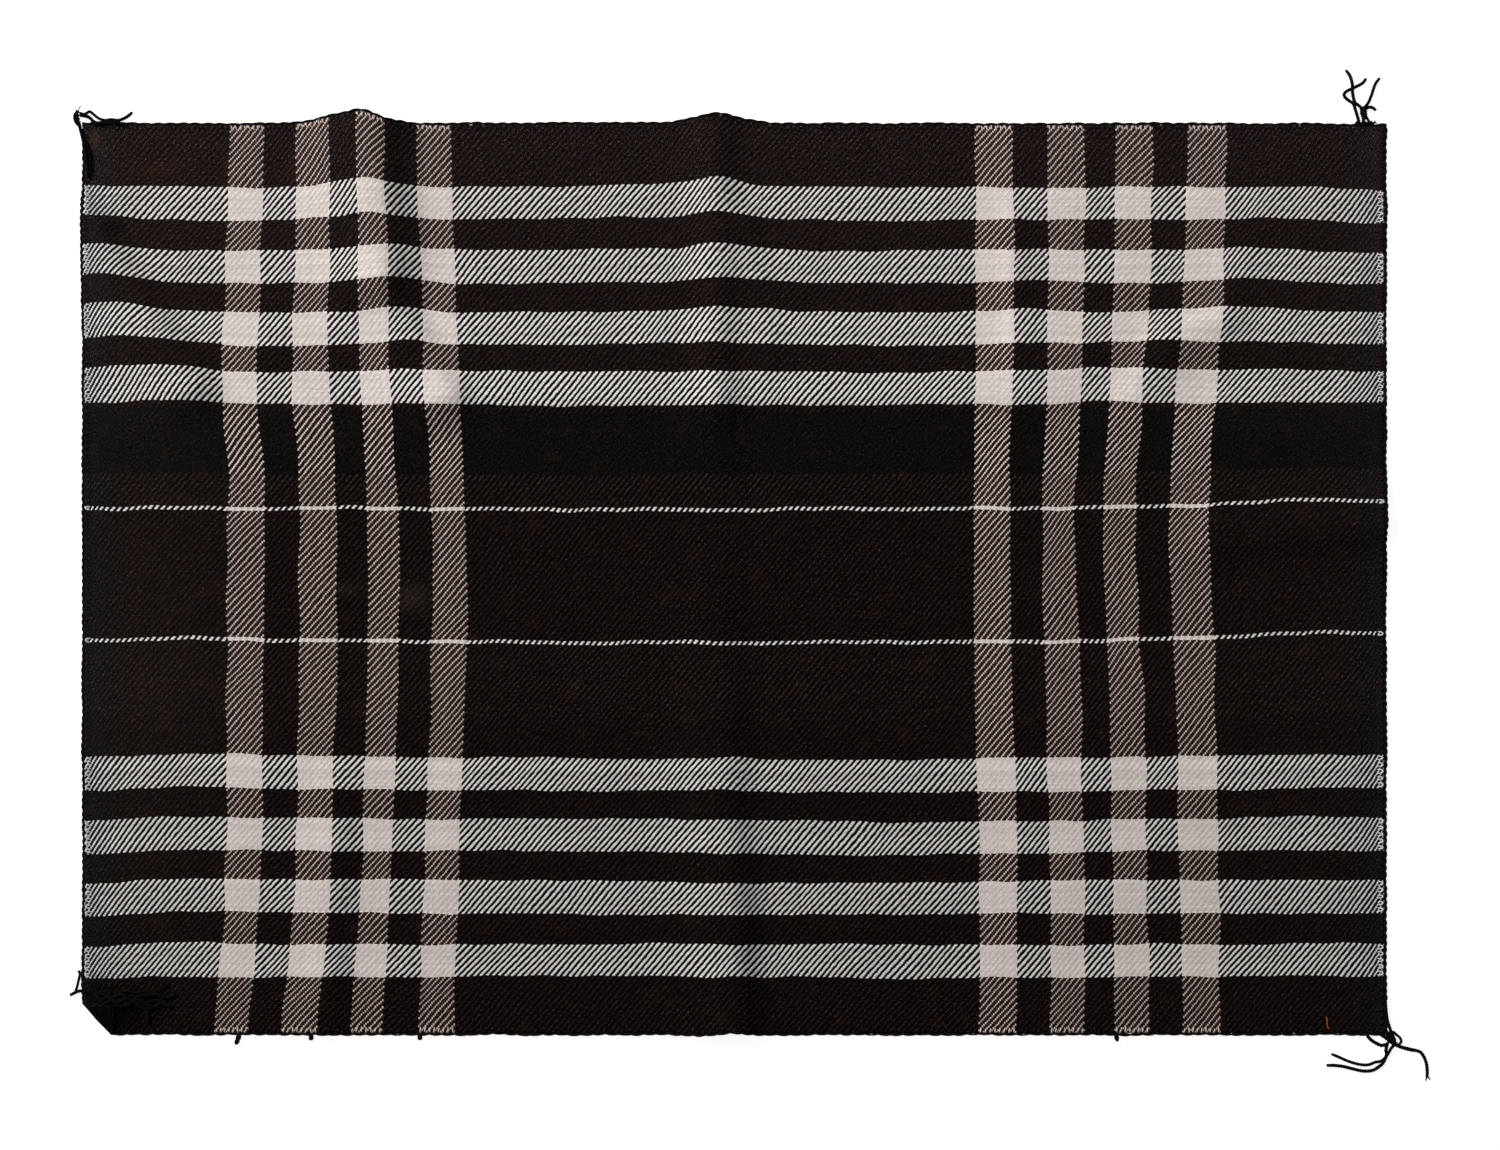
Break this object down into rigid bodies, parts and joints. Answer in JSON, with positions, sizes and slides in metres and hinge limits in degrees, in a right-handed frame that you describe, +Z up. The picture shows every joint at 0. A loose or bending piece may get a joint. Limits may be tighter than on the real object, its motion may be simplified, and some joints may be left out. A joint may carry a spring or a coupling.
{
  "type": "plaid wool blanket",
  "caption": "Handwoven twill blanket lying face up with soft folds, one corner turned over, corded selvedges and knotted corner tassels.",
  "frame": {"origin": "on the surface it lies on, under the middle of the blanket and its tassels", "axes": "+X along the long side (the wefts), +Y along the short side (the warps) towards the top edge, +Z up off the face"},
  "size_m": [1.2706, 0.944, 0.0213],
  "materials": {
    "plaid_wool": "matt handspun wool, 2/2 twill",
    "selvedge_yarn": "matt black twined yarn",
    "tassel_yarn": "matt blue-black plied yarn"
  },
  "bodies": {
    "root": {"cloth": "plaid_wool", "end_cord_top": "selvedge_yarn", "end_cord_bottom": "selvedge_yarn", "side_cord_left": "selvedge_yarn", "side_cord_right": "selvedge_yarn", "tassel_upper_left": "tassel_yarn", "tassel_upper_right": "tassel_yarn", "tassel_lower_left": "tassel_yarn", "tassel_lower_right": "tassel_yarn"}
  },
  "joints": []
}
